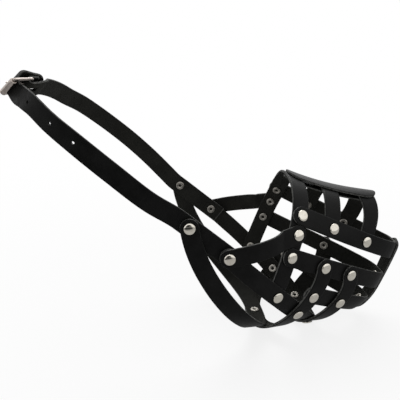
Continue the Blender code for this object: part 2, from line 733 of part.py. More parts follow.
# Buckle frame, roller and prong
FRAME_HALF = NECK_WIDTH / 2.0 + SIDE_PLAY + CORNER
corners = [(0.0, -1), (BUCKLE_LENGTH, -1), (BUCKLE_LENGTH, 1), (0.0, 1)]
outline = []
for k, (along, hand) in enumerate(corners):
    back_in = CORNER if along == 0.0 else -CORNER
    centre = (along + back_in, hand * (FRAME_HALF - CORNER))
    for a in np.radians(np.linspace(0.0, 90.0, 4)):
        turn = a + math.radians((180.0, 270.0, 0.0, 90.0)[k])
        corner = (centre[0] + CORNER * math.cos(turn), centre[1] + CORNER * math.sin(turn))
        outline.append(in_buckle(corner[0], 0.0, corner[1]))
frame = wire("buckle_frame", outline, WIRE, True, nickel())
roller_length = 2.0 * (FRAME_HALF - CORNER) - SEAT
roller = tube("buckle_roller", ROLLER_BORE, ROLLER_RADIUS, roller_length, ROLLER_SIDES, nickel())
roller.matrix_world = Matrix.Translation(Vector(roller_at)) @ turn_to(over)

eye = WIRE + PRONG_PLAY + PRONG
tongue_top = ROLLER_RADIUS + PRONG_PLAY + PRONG
eye_turn = np.radians(np.linspace(-70.0, -290.0, 9))
prong_points = [in_buckle(eye * math.cos(a), eye * math.sin(a)) for a in eye_turn]
knee = PRONG_KNEE * BUCKLE_LENGTH
prong_points += [in_buckle(knee, tongue_top), in_buckle(BUCKLE_LENGTH + ROLLER_RADIUS, tongue_top)]
prong = wire("buckle_prong", prong_points, PRONG, False, nickel())


def block(name, centre, size):
    # a box cutter in the buckle's axes: along the strap, outwards, across
    bm = bmesh.new()
    bmesh.ops.create_cube(bm, size=1.0)
    mesh = bpy.data.meshes.new(name)
    bm.to_mesh(mesh)
    bm.free()
    obj = bpy.data.objects.new(name, mesh)
    bpy.context.scene.collection.objects.link(obj)
    turn = Matrix((run, proud, np.cross(run, proud))).transposed().to_4x4()
    obj.matrix_world = Matrix.Translation(Vector(centre)) @ turn @ Matrix.Diagonal((*size, 1.0))
    obj.hide_render = True
    obj.display_type = "WIRE"
    return obj


cut(buckle_half, block("prong_slot", bar_at, PRONG_SLOT))
cut(billet, block("prong_hole", in_buckle(*PRONG_HOLE_AT), PRONG_HOLE))

# Rivets: name, path, coordinate axis and value of the station, first layer, straps held
neck_halves = {"right": billet, "left": buckle_half}
moving = [billet, buckle_half, frame]
PAIRS = [
    ("upper_rear", upper_path, X, cross["upper_rear"][0], 0, ("arch_rear", "upper")),
    ("upper_middle", upper_path, X, cross["upper_middle"][0], 0, ("arch_middle", "upper")),
    ("upper_front", upper_path, X, cross["upper_front"][0], 0, ("arch_front", "upper")),
    ("lower_rear", lower_path, X, cross["lower_rear"][0], 0, ("arch_rear", "lower")),
    ("lower_middle", lower_path, X, cross["lower_middle"][0], 1, ("lower", "under_rear")),
    ("lower_front", lower_path, X, cross["lower_front"][0], 1, ("lower", "under_front")),
    ("bottom_rear", bottom_path, X, cross["bottom_rear"][0], 1, ("bottom", "under_rear")),
    ("bottom_front", bottom_path, X, cross["bottom_front"][0], 1, ("bottom", "under_front")),
    ("sling_rear", sling_path, X, cross["sling_rear"][0], 0, ("arch_rear", "sling")),
    ("sling_middle", sling_path, X, cross["sling_middle"][0], 1, ("sling", "under_rear")),
    ("sling_front", sling_path, X, cross["sling_front"][0], 1, ("sling", "under_front")),
]
for hand, side in SIDES.items():
    for name, path, axis, value, first, held in PAIRS:
        form_rivet("rivet_%s_%s" % (name, hand), path, station(path, axis, value, side), first, 2,
                   [straps[h] for h in held])
    cheek = cheek_paths[hand]
    form_rivet("rivet_cheek_" + hand, cheek, station(cheek, X, cheek_end_x, side), 0, 2,
               [straps["arch_rear"], straps["cheek_" + hand]])
    outward = LEFT * side
    pivot_seat = PIVOT + outward * (HALF_WIDTH + MOUTH_FLARE)
    rivet("rivet_neck_pivot_" + hand, pivot_seat, outward, 0, 3,
          [neck_halves[hand], straps["sling"], straps["cheek_" + hand]])
    throat_seat = pivot_seat + NECK_BACK * THROAT_STATION
    held = [neck_halves[hand], straps["throat"]]
    moving.append(rivet("rivet_throat_" + hand, throat_seat, outward, 0, 2, held))

bottom_centre = np.array([REST_X, 0.0, -DROP_BELOW]) + FORM_CENTRE
rivet("rivet_throat_centre", bottom_centre, (0.0, 0.0, -1.0), 1, 2, [straps["throat"], straps["under_rear"]])
for name, mark, held in zip(("upper", "lower", "bottom"), front_marks, ("upper", "lower", "bottom")):
    form_rivet("rivet_front_" + name, front_path, mark, 1, 2, [straps[held], straps["front"]])


def carry(name, at, axis, pieces):
    # an empty on a joint's axis with the pieces that move there
    place = Matrix.Translation(Vector(at)) @ turn_to(axis)
    empty = bpy.data.objects.new(name, None)
    bpy.context.scene.collection.objects.link(empty)
    empty.matrix_world = place
    for piece in pieces:
        piece.parent = empty
        piece.matrix_parent_inverse = place.inverted()


carry("neck_swing_axis", PIVOT, LEFT, moving)
carry("roller_axis", roller_at, over, [roller])
carry("prong_axis", bar_at, -over, [prong])
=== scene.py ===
import math

import bpy
import numpy as np
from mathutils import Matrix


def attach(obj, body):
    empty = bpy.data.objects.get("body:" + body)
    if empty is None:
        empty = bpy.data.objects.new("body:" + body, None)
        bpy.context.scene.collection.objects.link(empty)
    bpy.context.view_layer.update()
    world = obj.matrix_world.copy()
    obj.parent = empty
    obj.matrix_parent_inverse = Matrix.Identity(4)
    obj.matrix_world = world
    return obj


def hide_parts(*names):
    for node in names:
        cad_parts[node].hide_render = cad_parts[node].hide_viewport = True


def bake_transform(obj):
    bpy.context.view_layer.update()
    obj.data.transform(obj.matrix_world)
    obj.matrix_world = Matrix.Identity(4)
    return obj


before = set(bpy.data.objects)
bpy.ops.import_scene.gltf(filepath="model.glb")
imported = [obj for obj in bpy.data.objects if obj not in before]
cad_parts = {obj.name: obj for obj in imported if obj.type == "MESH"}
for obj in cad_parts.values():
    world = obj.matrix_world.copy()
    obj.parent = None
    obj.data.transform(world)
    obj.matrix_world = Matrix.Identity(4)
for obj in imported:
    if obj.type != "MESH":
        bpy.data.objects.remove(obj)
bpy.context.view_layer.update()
print("frame loaded:", len(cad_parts), "nodes")

# lengths are millimetres, apart from the finishes, the studio and the camera, which are in metres
# angles are degrees; x points to the nose, z up, and the right side is -y
mm = 0.001
xAxis, zAxis = 0, 2
hands = {"right": -1.0, "left": 1.0}


def unit(v):
    return v / np.linalg.norm(v, axis=-1, keepdims=True)


def lengths(path):
    return np.concatenate([[0.0], np.cumsum(np.linalg.norm(np.diff(path, axis=0), axis=1))])


def sample(path, s):
    at = lengths(path)
    return np.stack([np.interp(s, at, path[:, k]) for k in range(3)], axis=-1)


def ease(t):
    t = np.clip(t, 0.0, 1.0)
    return t * t * (3.0 - 2.0 * t)


# the snout that the straps lie on
snoutForm = {
    "halfWidth": 55.3,
    "riseAbove": 71.8,
    "topDrop": 23.6,
    "dropBelow": 64.3,
    "noseLength": 108.0,
    "narrowing": 0.7324,
    "frontSlope": 0.40,
    "mouthFlare": 13.0,
    "flareLength": 46.0,
    "roundAbove": 2.35,
    "roundBelow": 2.75,
    "roundAtPivot": 12.0,
    "squaringStarts": 0.3,
    "noseRoundSide": 4.5,
    "noseRoundTop": 10.0,
    "noseRoundBelow": 7.0,
}
solving = {
    "tiny": 1e-12,
    "slopeStep": 0.2,
    "rateStep": 0.1,
    "newtonSteps": 8,
    "outside": 220.0,      # a radius that is past the form everywhere
    "halvings": 60,
    "pathPoints": 900,
    "crossingSteps": 200,
}


def formValue(p):
    # superellipse sections that taper to the nose: below zero inside, zero on the form
    f = snoutForm
    x, y, z = p[..., 0], p[..., 1], p[..., 2]
    ahead = np.maximum(x, 0.0)
    share = np.minimum(ahead / f["noseLength"], 1.0)
    taper = f["narrowing"] * f["halfWidth"] / f["noseLength"]
    back = np.clip(-x / f["flareLength"], 0.0, 1.0)
    slope = taper * f["flareLength"]
    flared = slope * (back ** 3 - 2.0 * back ** 2 + back) + f["mouthFlare"] * ease(back)
    width = f["halfWidth"] - taper * ahead + flared
    above = z > 0.0
    square = ease((back - f["squaringStarts"]) / (1.0 - f["squaringStarts"]))
    powerAbove = f["roundAbove"] + (f["roundAtPivot"] - f["roundAbove"]) * square
    power = np.where(above, powerAbove, f["roundBelow"])
    height = np.where(above, f["riseAbove"] - f["topDrop"] * (2.0 - share) * share, f["dropBelow"])
    long = f["noseLength"] + f["frontSlope"] * np.minimum(z, 0.0)
    side = (np.abs(y) / width) ** power
    tall = (np.abs(z) / height) ** power
    upright = tall / (side + tall + solving["tiny"])
    end = np.where(above, f["noseRoundTop"], f["noseRoundBelow"])
    close = f["noseRoundSide"] + (end - f["noseRoundSide"]) * upright
    reach = (side + tall + solving["tiny"]) ** (1.0 / power)
    return reach ** close + (ahead / long) ** close - 1.0


def formNormal(p):
    # the slope of the form's value along each axis
    d = solving["slopeStep"]
    return unit(np.stack([formValue(p + d * a) - formValue(p - d * a) for a in np.eye(3)], axis=-1))


def toForm(p):
    # Newton steps along the normal until the points are on the form
    d = solving["rateStep"]
    for _ in range(solving["newtonSteps"]):
        n = formNormal(p)
        rate = (formValue(p + d * n) - formValue(p - d * n)) / (2.0 * d)
        p = p - n * (formValue(p) / rate)[..., None]
    return p


def pathOnForm(first, last, place):
    # bisection on the radius from a hub, for every angle of the sweep at once
    count = solving["pathPoints"]
    a = np.radians(np.linspace(first, last, count))
    low, high = np.zeros(count), np.full(count, solving["outside"])
    for _ in range(solving["halvings"]):
        middle = 0.5 * (low + high)
        outside = formValue(place(middle * np.cos(a), middle * np.sin(a))) > 0.0
        high = np.where(outside, middle, high)
        low = np.where(outside, low, middle)
    return place(low * np.cos(a), low * np.sin(a))


# side-view lines: a steep one is x = at + z tan(lean) - bend (z / drop below) squared, with the bend
# counted only above "from" where that is given, and a flat one is z = at + x tan(rise)
steepLines = {
    "archRear": {"at": -9.5, "lean": 19.1, "bend": 19.4, "from": 35.0, "hub": 0.0},
    "archMiddle": {"at": 30.3, "lean": 11.8, "bend": 0.0, "hub": 0.0},
    "archFront": {"at": 61.6, "lean": 43.2, "bend": 49.6, "hub": 0.0},
    "underRear": {"at": 26.9, "lean": 1.35, "bend": 48.4, "hub": -10.0},
    "underFront": {"at": 47.2, "lean": -37.5, "bend": 78.4, "hub": -15.0},
}
flatLines = {
    "upper": {"at": 45.7, "rise": -24.9, "hub": 30.0},
    "lower": {"at": 8.9, "rise": -23.8, "hub": 30.0},
    "bottom": {"at": -21.3, "rise": -23.0, "hub": 25.0},
    "sling": {"at": -39.1, "rise": -43.7, "hub": -20.0},
}
sweeps = {"arch": (-150.0, 150.0), "under": (30.0, 330.0), "flat": (-150.0, 150.0)}


def steepX(line, z):
    past = np.maximum(z - line["from"], 0.0) if "from" in line else z
    bend = line["bend"] * (past / snoutForm["dropBelow"]) ** 2
    return line["at"] + z * math.tan(math.radians(line["lean"])) - bend


def flatZ(line, x):
    return line["at"] + x * math.tan(math.radians(line["rise"]))


def crossing(steep, flat):
    # half steps towards each other until the two lines meet
    z = flat["at"]
    for _ in range(solving["crossingSteps"]):
        z = 0.5 * z + 0.5 * flatZ(flat, steepX(steep, z))
    return {xAxis: float(steepX(steep, z)), zAxis: float(z)}


def steepPath(line, first, last):
    def place(up, out):
        z = line["hub"] + up
        return np.stack([steepX(line, z), out, z], axis=-1)
    return pathOnForm(first, last, place)


def flatPath(line, first, last):
    def place(forward, out):
        x = line["hub"] + forward
        return np.stack([x, out, flatZ(line, x)], axis=-1)
    return pathOnForm(first, last, place)


def centrePath(hub, first, last):
    def place(forward, up):
        return np.stack([hub[0] + forward, 0.0 * up, hub[1] + up], axis=-1)
    return pathOnForm(first, last, place)


def station(path, axis, value, side):
    # length along the path where a coordinate first passes the value, on one side
    s = lengths(path)
    d = path[:, axis] - value
    passes = (d[:-1] * d[1:] <= 0.0) & (d[:-1] != d[1:]) & (path[:-1, 1] * side >= 0.0)
    hit = np.nonzero(passes)[0][0]
    return s[hit] + (s[hit + 1] - s[hit]) * d[hit] / (d[hit] - d[hit + 1])


def bothSides(path, axis, value):
    return sorted(station(path, axis, value, side) for side in hands.values())


def nearest(path, point):
    return lengths(path)[np.argmin(np.linalg.norm(path - point, axis=1))]


def farthest(path, axis):
    return path[np.argmax(path[:, axis])]


def nodesOf(name):
    m = bpy.data.materials.new(name)
    m.use_nodes = True
    return m, m.node_tree, m.node_tree.nodes["Principled BSDF"]


def addNode(tree, kind, **values):
    n = tree.nodes.new(kind)
    for key, value in values.items():
        if key in n.inputs.keys():
            n.inputs[key].default_value = value
        else:
            setattr(n, key, value)
    return n


def ramp(tree, source, span, ends):
    # one colour, or one grey, turns into the other over the span
    n = tree.nodes.new("ShaderNodeValToRGB")
    for e, at, end in zip(n.color_ramp.elements, span, ends):
        e.position = at
        e.color = (*end, 1.0) if isinstance(end, tuple) else (end, end, end, 1.0)
    tree.links.new(source, n.inputs["Fac"])
    return n.outputs["Color"]


def mix(tree, kind, share, first, second):
    n = addNode(tree, "ShaderNodeMix", data_type=kind)
    for key, source in (("Factor", share), ("A", first), ("B", second)):
        tree.links.new(source, n.inputs[key])
    return n.outputs["Result"]


def maths(tree, operation, first, second):
    n = addNode(tree, "ShaderNodeMath", operation=operation)
    for k, v in enumerate((first, second)):
        if isinstance(v, float):
            n.inputs[k].default_value = v
        else:
            tree.links.new(v, n.inputs[k])
    return n.outputs[0]


def bumpFrom(tree, height, shader, values):
    bump = addNode(tree, "ShaderNodeBump", **values)
    tree.links.new(height, bump.inputs["Height"])
    tree.links.new(bump.outputs["Normal"], shader.inputs["Normal"])


leatherFinish = {
    # colours and roughness from low to high, and the span of the texture that they turn over
    "grain": ((0.0036, 0.0036, 0.0034), (0.0085, 0.0086, 0.0084)),
    "grainSpan": (0.32, 0.70),
    "suede": ((0.0125, 0.0125, 0.0108), (0.0215, 0.0215, 0.0188)),
    "suedeSpan": (0.55, 1.0),
    # the cut edges' pale grey: partly the raw edge's own colour, partly a painted highlight along the edges
    "cutEdgeAndHighlight": ((0.025, 0.025, 0.024), (0.15, 0.15, 0.142)),
    "cutSpan": (0.30, 0.62),
    "grainRough": (0.36, 0.50),
    "suedeRough": (0.86, 0.98),
    "roughSpan": (0.3, 0.7),
    "shine": 0.11,
    # share of the cut edges' pale grey over the face: raw edge colour and painted highlight
    "paleEdgeAndHighlight": 0.9,
    "patch": {"Scale": 55.0, "Detail": 4.0, "Roughness": 0.55},
    "pores": {"Scale": 1500.0, "feature": "F1"},
    "wrinkle": {"Scale": 420.0, "Detail": 6.0, "Roughness": 0.62},
    "fibre": {"Scale": 2600.0, "Detail": 5.0, "Roughness": 0.7},
    "poreShare": 0.55,
    "fibreShare": 0.6,
    "bump": {"Strength": 0.3, "Distance": 0.00010},
}


def strapLeather():
    # dyed grain outside, suede inside and paler cut edges, told apart by the strap's own attributes; the cut
    # edges' pale grey is partly the raw edge's colour and partly a painted highlight
    f = leatherFinish
    m, tree, shader = nodesOf("strapLeather")
    where = addNode(tree, "ShaderNodeTexCoord").outputs["Object"]
    flesh = addNode(tree, "ShaderNodeAttribute", attribute_name="flesh").outputs["Fac"]
    rim = addNode(tree, "ShaderNodeAttribute", attribute_name="rim").outputs["Fac"]
    pores = addNode(tree, "ShaderNodeTexVoronoi", **f["pores"])
    noises = [addNode(tree, "ShaderNodeTexNoise", **f[key]) for key in ("patch", "wrinkle", "fibre")]
    for texture in (pores, *noises):
        tree.links.new(where, texture.inputs["Vector"])
    patch, wrinkle, fibre = [n.outputs["Fac"] for n in noises]
    nap = maths(tree, "MULTIPLY", fibre, f["fibreShare"])
    grain = ramp(tree, patch, f["grainSpan"], f["grain"])
    suede = ramp(tree, maths(tree, "ADD", patch, nap), f["suedeSpan"], f["suede"])
    cut = ramp(tree, wrinkle, f["cutSpan"], f["cutEdgeAndHighlight"])
    face = mix(tree, "RGBA", flesh, grain, suede)
    # the cut edges get the pale grey that is partly painted highlight
    toneAndPaintedLight = maths(tree, "MULTIPLY", rim, f["paleEdgeAndHighlight"])
    tree.links.new(mix(tree, "RGBA", toneAndPaintedLight, face, cut), shader.inputs["Base Color"])
    gloss = ramp(tree, wrinkle, f["roughSpan"], f["grainRough"])
    nappy = ramp(tree, fibre, f["roughSpan"], f["suedeRough"])
    matt = maths(tree, "MAXIMUM", flesh, rim)
    tree.links.new(mix(tree, "RGBA", matt, gloss, nappy), shader.inputs["Roughness"])
    shader.inputs["Specular IOR Level"].default_value = f["shine"]
    poreHeight = maths(tree, "MULTIPLY", pores.outputs["Distance"], f["poreShare"])
    grainHeight = maths(tree, "ADD", poreHeight, wrinkle)
    bumpFrom(tree, mix(tree, "FLOAT", flesh, grainHeight, nap), shader, f["bump"])
    return m


nickelFinish = {
    "cap": {
        "plate": ((0.70, 0.655, 0.57), (0.84, 0.805, 0.72)),
        "plateSpan": (0.3, 0.62),
        "rough": (0.07, 0.19),
    },
    # painted shade: the buckle's plate is darker and browner than the caps', standing in for the darker
    # reflections that the buckle shows
    "buckle": {
        "plate": ((0.30, 0.262, 0.235), (0.47, 0.42, 0.385)),
        "plateSpan": (0.3, 0.62),
        "rough": (0.16, 0.30),
    },
    # the grey of the rivets' rolled ends inside: partly a duller metal and partly painted shade for the
    # basket's shadowed inside
    "rolled": {
        "plate": ((0.252, 0.24, 0.216), (0.42, 0.40, 0.36)),
        "plateSpan": (0.3, 0.65),
        "rough": (0.32, 0.45),
    },
    "roughSpan": (0.3, 0.75),
    "cloud": {"Scale": 260.0, "Detail": 4.0, "Roughness": 0.6},
    "scuff": {"Scale": 900.0, "Detail": 8.0, "Roughness": 0.7},
    "scuffStretch": (1.0, 1.0, 6.0),
    "bump": {"Strength": 0.10, "Distance": 0.00005},
}


def nickelPlate(kind):
    # bright plate, clouded a little and scuffed; greyer where the caps' attribute says rolled end, a grey
    # that is partly painted shade
    f = nickelFinish
    m, tree, shader = nodesOf(kind + "Nickel")
    where = addNode(tree, "ShaderNodeTexCoord").outputs["Object"]
    cloud = addNode(tree, "ShaderNodeTexNoise", **f["cloud"])
    scuff = addNode(tree, "ShaderNodeTexNoise", **f["scuff"])
    stretch = addNode(tree, "ShaderNodeMapping", Scale=f["scuffStretch"])
    tree.links.new(where, stretch.inputs["Vector"])
    tree.links.new(where, cloud.inputs["Vector"])
    tree.links.new(stretch.outputs["Vector"], scuff.inputs["Vector"])

    def metal(part):
        return (ramp(tree, cloud.outputs["Fac"], part["plateSpan"], part["plate"]),
                ramp(tree, scuff.outputs["Fac"], f["roughSpan"], part["rough"]))

    plate, gloss = metal(f[kind])
    if kind == "cap":
        rolled = addNode(tree, "ShaderNodeAttribute", attribute_name="rolled").outputs["Fac"]
        # the rolled ends' darker grey is partly painted shade
        toneAndPaintedLight, matt = metal(f["rolled"])
        plate = mix(tree, "RGBA", rolled, plate, toneAndPaintedLight)
        gloss = mix(tree, "RGBA", rolled, gloss, matt)
    tree.links.new(plate, shader.inputs["Base Color"])
    tree.links.new(gloss, shader.inputs["Roughness"])
    bumpFrom(tree, scuff.outputs["Fac"], shader, f["bump"])
    shader.inputs["Metallic"].default_value = 1.0
    return m


leather = strapLeather()
capNickel = nickelPlate("cap")
# the buckle's darker plate is painted shade for its darker reflections
shadedBuckleNickel = nickelPlate("buckle")
print("materials made")


def finishPiece(name, points, faces, finish, body, node, smoothAngle, attributes=None):
    # points come in the snout's millimetres and leave in the frame's metres
    points = (points + formCentre) * mm
    mesh = bpy.data.meshes.new(name)
    mesh.from_pydata(points.tolist(), [], faces)
    mesh.calc_loop_triangles()
    corners = np.empty(len(mesh.loop_triangles) * 3, int)
    mesh.loop_triangles.foreach_get("vertices", corners)
    p, q, r = points[corners].reshape(-1, 3, 3).transpose(1, 0, 2)
    if np.sum(p * np.cross(q, r)) < 0.0:
        mesh.flip_normals()
    for key, values in (attributes or {}).items():
        layer = mesh.attributes.new(key, "FLOAT", "POINT")
        layer.data.foreach_set("value", values.astype(np.float32))
    mesh.shade_smooth()
    mesh.set_sharp_from_angle(angle=math.radians(smoothAngle))
    mesh.materials.append(finish)
    piece = bpy.data.objects.new(name, mesh)
    bpy.context.scene.collection.objects.link(piece)
    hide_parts(node)
    if body:
        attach(piece, body)
    return piece


leatherStock = {
    "strapWidth": 16.0,
    "thick": 2.4,
    "gap": 0.5,            # between one layer and the next
    "swell": 0.14,         # how far each face grows into the gap beside it
    "edgeRound": 0.75,
    "edgeShare": 0.31,     # an edge's rounding takes no more of the thickness than this
    "endReach": 8.0,       # from a strap's last rivet to its end
    "endPower": 2.0,       # 2 is a half circle, more is squarer
    "endSteps": 10,
    "endSliver": 0.03,     # share of the width that is left at the very end
    "ringStep": 1.3,
    "aim": 0.5,            # how far ahead and behind the strap's direction is read
    "columns": 21,
    "pressDepth": 0.30,    # dent under a rivet cap
    "pressReach": 6.2,
    "smoothAngle": 48.0,
}
pitch = leatherStock["thick"] + leatherStock["gap"]


def leatherSheet(node, body, grainSide, fleshSide, keep):
    # two point grids, grain and flesh, with a wall wherever a kept cell meets a cut one
    rows, cols = grainSide.shape[:2]
    top = np.arange(rows * cols).reshape(rows, cols)
    low = top + rows * cols
    cut = np.pad(~keep, 1, constant_values=True)
    i, j = np.nonzero(keep)
    faces = [np.stack([top[i, j], top[i + 1, j], top[i + 1, j + 1], top[i, j + 1]], axis=1),
             np.stack([low[i, j], low[i, j + 1], low[i + 1, j + 1], low[i + 1, j]], axis=1)]
    # the step to a cell's neighbour and, in winding order, the two corners between them
    borders = (((0, 1), (0, 1), (1, 1)), ((0, -1), (1, 0), (0, 0)),
               ((1, 0), (1, 1), (1, 0)), ((-1, 0), (0, 0), (0, 1)))
    walls, pale = [], []
    for (di, dj), a, b in borders:
        at = cut[i + 1 + di, j + 1 + dj]
        p, q = (i[at] + a[0], j[at] + a[1]), (i[at] + b[0], j[at] + b[1])
        walls.append(np.stack([top[p], top[q], low[q], low[p]], axis=1))
        besideI, besideJ = i[at] + di, j[at] + dj
        beyond = (besideI < 0) | (besideI > rows - 2) | (besideJ < 0) | (besideJ > cols - 2)
        pale.append(walls[-1][beyond])
    faces = np.concatenate(faces + walls)
    points = np.concatenate([grainSide.reshape(-1, 3), fleshSide.reshape(-1, 3)])
    flesh = np.repeat([0.0, 1.0], rows * cols)
    # rim marks the outer cut edges for the pale grey that is partly painted highlight
    rim = np.zeros(len(points))
    rim[np.concatenate(pale).ravel()] = 1.0
    used, faces = np.unique(faces, return_inverse=True)
    return finishPiece(node + "_leather", points[used], faces.reshape(-1, 4).tolist(), leather, body, node,
                       leatherStock["smoothAngle"], {"flesh": flesh[used], "rim": rim[used]})


def stationsAlong(start, stop, half, step, roundStart=True, roundStop=True):
    # even steps, closer together on the round ends
    bow = half * (1.0 - np.cos(np.radians(np.linspace(0.0, 90.0, leatherStock["endSteps"]))))
    head = start + bow if roundStart else np.array([start])
    tail = (stop - bow)[::-1] if roundStop else np.array([stop])
    count = max(2, int(round((tail[0] - head[-1]) / step)))
    return np.concatenate([head, np.linspace(head[-1], tail[0], count + 1)[1:-1], tail])


def halfWidths(s, start, stop, half, roundStart=True, roundStop=True, power=leatherStock["endPower"]):
    # half-width along a strap with superellipse ends
    share = np.ones(len(s))
    for isRound, past in ((roundStart, start + half - s), (roundStop, s - stop + half)):
        if isRound:
            share = np.minimum(share, (1.0 - np.clip(past / half, 0, 1) ** power) ** (1.0 / power))
    return half * np.maximum(share, leatherStock["endSliver"])


def halfThickness(y, half, thick):
    # quarter-round edges: full thickness inside, thinning to the cut edge
    r = min(leatherStock["edgeRound"], leatherStock["edgeShare"] * thick)
    inset = np.clip((r - (half - np.abs(y))) / r, 0.0, 1.0)
    full = thick / 2.0 + leatherStock["swell"]
    return full - r + r * np.sqrt(1.0 - inset ** 2)


def edgeColumns(count):
    # columns from edge to edge, closer together at the edges
    return np.sin(np.radians(90.0) * np.linspace(-1.0, 1.0, count))


def formStrap(node, body, path, start, stop, layer, endLayer=None, presses=(),
              width=leatherStock["strapWidth"], thick=leatherStock["thick"], power=leatherStock["endPower"]):
    # a strap on the form: s along its path, y across, lifted along the form's normal
    stock = leatherStock
    half = width / 2.0
    s = stationsAlong(start, stop, half, stock["ringStep"])
    spread = halfWidths(s, start, stop, half, power=power)
    centre = sample(path, s)
    run = unit(sample(path, s + stock["aim"]) - sample(path, s - stock["aim"]))
    side = unit(np.cross(formNormal(centre), run))
    y = spread[:, None] * edgeColumns(stock["columns"])[None, :]
    skin = toForm(centre[:, None, :] + side[:, None, :] * y[..., None])
    normal = formNormal(skin)
    last = layer if endLayer is None else endLayer
    rise = (layer + (last - layer) * ease((s - start - width) / (stop - start - 2.0 * width))) * pitch
    middle = (rise + thick / 2.0)[:, None]
    lift = halfThickness(y, spread[:, None], thick)
    dent = np.zeros_like(y)
    for mark in presses:
        away = (s[:, None] - mark) ** 2 + y ** 2
        dent += stock["pressDepth"] * np.exp(-away / stock["pressReach"] ** 2)
    grainSide = skin + normal * (middle + lift - dent)[..., None]
    fleshSide = skin + normal * (middle - lift)[..., None]
    return leatherSheet(node, body, grainSide, fleshSide, np.ones((len(s) - 1, y.shape[1] - 1), bool))


rivetShape = {
    "capRadius": 4.9,
    "capHeight": 1.8,
    "capLift": 0.2,
    "capEdge": 0.55,
    "capSeat": 0.06,
    "capLip": [(0.0, 0.25), (0.18, 0.05), (0.6, -0.10)],   # in from the cap's edge, up from its seat
    "shank": 1.7,
    "ringRadius": 2.8,     # middle of the rolled end
    "ringTube": 1.4,
    "ringHeight": 0.85,
    "ringSeat": 0.30,
    "ringDrop": 0.12,
    "bore": 1.2,
    "boreDepth": 2.4,
    "boreLip": 0.3,
    "rolledPast": 0.1,     # the grey goes this far above the bore's bottom
    "domeSteps": 14,
    "rollSteps": 12,
    "sides": 44,
    "smoothAngle": 40.0,
}


def basisOf(axis):
    # two directions square to the axis, from a guide that isn't close to it
    axis = unit(np.asarray(axis, float))
    nearUpright = 0.9
    guide = np.array([0.0, 0.0, 1.0]) if abs(axis[2]) < nearUpright else np.array([1.0, 0.0, 0.0])
    first = unit(np.cross(guide, axis))
    return first, np.cross(axis, first), axis


def turnedPoints(profile, seat, axis, sides):
    # each (radius, height) of the profile carried round the axis; radius zero is one pole point
    first, second, up = basisOf(axis)
    a = np.linspace(0.0, 2.0 * np.pi, sides, endpoint=False)
    ring = np.cos(a)[:, None] * first + np.sin(a)[:, None] * second
    radius, height = profile[:, 0], profile[:, 1]
    grid = seat + height[:, None, None] * up + radius[:, None, None] * ring[None]
    points = np.concatenate([grid[0, :1], grid[1:-1].reshape(-1, 3), grid[-1, :1]])
    inner = 1 + np.arange((len(profile) - 2) * sides).reshape(-1, sides)
    turn = np.roll(inner, -1, axis=1)
    quads = np.stack([inner[:-1], inner[1:], turn[1:], turn[:-1]], axis=-1).reshape(-1, 4)
    capTop = np.stack([np.zeros(sides, int), inner[0], turn[0]], axis=1)
    capLow = np.stack([inner[-1], np.full(sides, len(points) - 1), turn[-1]], axis=1)
    return points, quads.tolist() + capTop.tolist() + capLow.tolist()


def rivet(name, body, seat, outward, first, count):
    # dome, rolled edge, shank and rolled tube end as one turned profile, through count layers from first
    r = rivetShape
    seat = np.asarray(seat, float)
    over = (first + count) * pitch - leatherStock["gap"] + leatherStock["swell"] + r["capSeat"]
    under = first * pitch - r["ringSeat"]
    bow = np.radians(np.linspace(0.0, 90.0, r["domeSteps"]))
    topOver = (first + count) * pitch - leatherStock["gap"] + r["capLift"] + r["capHeight"]
    dome = np.stack([r["capRadius"] * np.sin(bow),
                     over + r["capEdge"] + (topOver - over - r["capEdge"]) * np.cos(bow)], axis=1)
    lip = [(r["capRadius"] - inwards, over + up) for inwards, up in r["capLip"]]
    stem = [(r["shank"], lip[-1][1]), (r["shank"], under), (r["ringRadius"] + r["ringTube"], under)]
    roll = np.radians(np.linspace(0.0, 180.0, r["rollSteps"]))
    ring = np.stack([r["ringRadius"] + r["ringTube"] * np.cos(roll),
                     under - r["ringDrop"] - r["ringHeight"] * np.sin(roll)], axis=1)
    bottom = under + r["boreDepth"]
    bore = [(r["bore"], under + r["boreLip"]), (r["bore"], bottom), (0.0, bottom)]
    profile = np.concatenate([dome, lip, stem, ring, bore])
    points, faces = turnedPoints(profile, seat, outward, r["sides"])
    height = (points - seat) @ basisOf(outward)[2]
    # the rolled ends and the bore get the darker grey that is partly painted shade
    rolled = (height < bottom + r["rolledPast"]).astype(float)
    return finishPiece(name + "_nickel", points, faces, capNickel, body, name, r["smoothAngle"],
                       {"rolled": rolled})


# the frame's origin is under the lowest rivet, whose cap stands on three layers
lowestLayers = 3.0
restX = steepX(steepLines["underRear"], -snoutForm["dropBelow"])
restDrop = (snoutForm["dropBelow"] + lowestLayers * pitch - leatherStock["gap"]
            + rivetShape["capLift"] + rivetShape["capHeight"])
formCentre = np.array([-restX, 0.0, restDrop])

pivotX = -59.8
pivotZ = flatZ(flatLines["sling"], pivotX)
paths = {key: steepPath(line, *sweeps["arch" if key.startswith("arch") else "under"])
         for key, line in steepLines.items()}
paths.update({key: flatPath(line, *sweeps["flat"]) for key, line in flatLines.items()})

# a rivet at each crossing: the steep line and the flat one
joins = {
    "upper_rear": ("archRear", "upper"),
    "upper_middle": ("archMiddle", "upper"),
    "upper_front": ("archFront", "upper"),
    "lower_rear": ("archRear", "lower"),
    "lower_middle": ("underRear", "lower"),
    "lower_front": ("underFront", "lower"),
    "bottom_rear": ("underRear", "bottom"),
    "bottom_front": ("underFront", "bottom"),
    "sling_rear": ("archRear", "sling"),
    "sling_middle": ("underRear", "sling"),
    "sling_front": ("underFront", "sling"),
}
joinAt = {key: crossing(steepLines[steep], flatLines[flat]) for key, (steep, flat) in joins.items()}
joinAt["neck_pivot"] = {xAxis: pivotX, zAxis: pivotZ}

